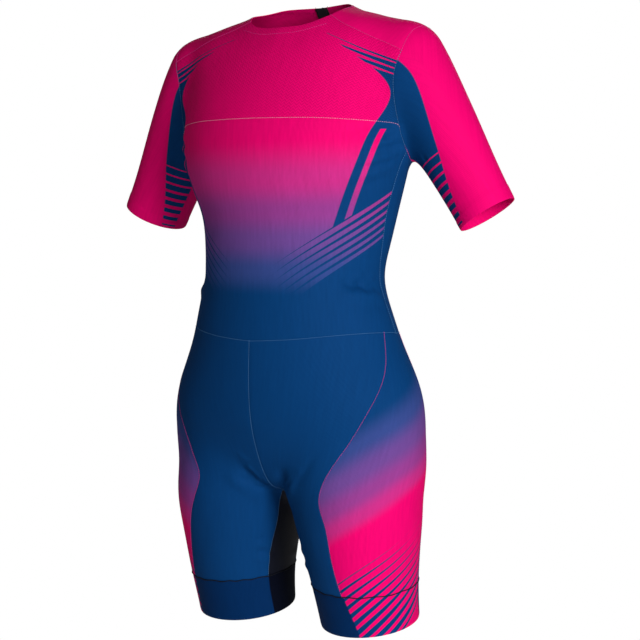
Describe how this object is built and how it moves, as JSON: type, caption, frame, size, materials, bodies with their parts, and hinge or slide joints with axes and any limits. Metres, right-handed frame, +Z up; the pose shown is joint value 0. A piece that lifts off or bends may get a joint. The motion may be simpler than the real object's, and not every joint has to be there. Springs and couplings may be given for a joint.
{
  "type": "speed skating skinsuit",
  "caption": "Women's close-fitting one-piece skating suit with short sleeves, short legs, gripper leg cuffs and a centre-back zip, filled out as worn.",
  "frame": {"origin": "on the midline at shoulder level, where the wearer's shoulders hold the suit up", "axes": "+X the wearer's left, -Y the suit's front, +Y its back, +Z up towards the neck"},
  "size_m": [0.6146, 0.2405, 0.8392],
  "materials": {
    "mesh_knit_pink": "open chevron-textured polyester-elastane knit, matt",
    "knit_pink": "warp-knitted polyester-elastane, sublimation printed, slight sheen",
    "knit_printed_front": "warp-knitted polyester-elastane, pink fading to navy, slight sheen",
    "knit_navy": "warp-knitted polyester-elastane, sublimation printed, slight sheen",
    "knit_printed_side": "warp-knitted polyester-elastane, navy fading to pink, slight sheen",
    "knit_dark_navy": "close abrasion-resistant polyamide-elastane knit, matt",
    "gripper_knit": "elastic power-net cuff, matt",
    "zip_tape": "woven polyester tape, matt",
    "zip_coil": "nylon coil, satin",
    "zip_metal": "die-cast zinc, black lacquer, satin"
  },
  "bodies": {
    "suit": {"front_chest": "mesh_knit_pink", "front_body": "knit_printed_front", "back_left": "knit_pink", "back_right": "knit_pink", "sleeve_left": "knit_pink", "sleeve_right": "knit_pink", "shorts_front_left": "knit_navy", "shorts_front_right": "knit_navy", "shorts_side_left": "knit_printed_side", "shorts_side_right": "knit_printed_side", "shorts_back_left": "knit_navy", "shorts_back_right": "knit_navy", "inner_thigh_left": "knit_dark_navy", "inner_thigh_right": "knit_dark_navy", "leg_cuff_left": "gripper_knit", "leg_cuff_right": "gripper_knit", "zip_tape_left": "zip_tape", "zip_tape_right": "zip_tape", "zip_coil": "zip_coil", "zip_guard": "zip_tape", "zip_slider": "zip_metal"},
    "pull_tab": {"zip_pull_tab": "zip_metal"}
  },
  "joints": [
    {"name": "pull_tab_hinge", "type": "hinge", "parent": "suit", "child": "pull_tab", "pos_m": [0, 0.06501, -0.01361], "axis": [1, 0, 0], "range_deg": [0, 160]}
  ]
}
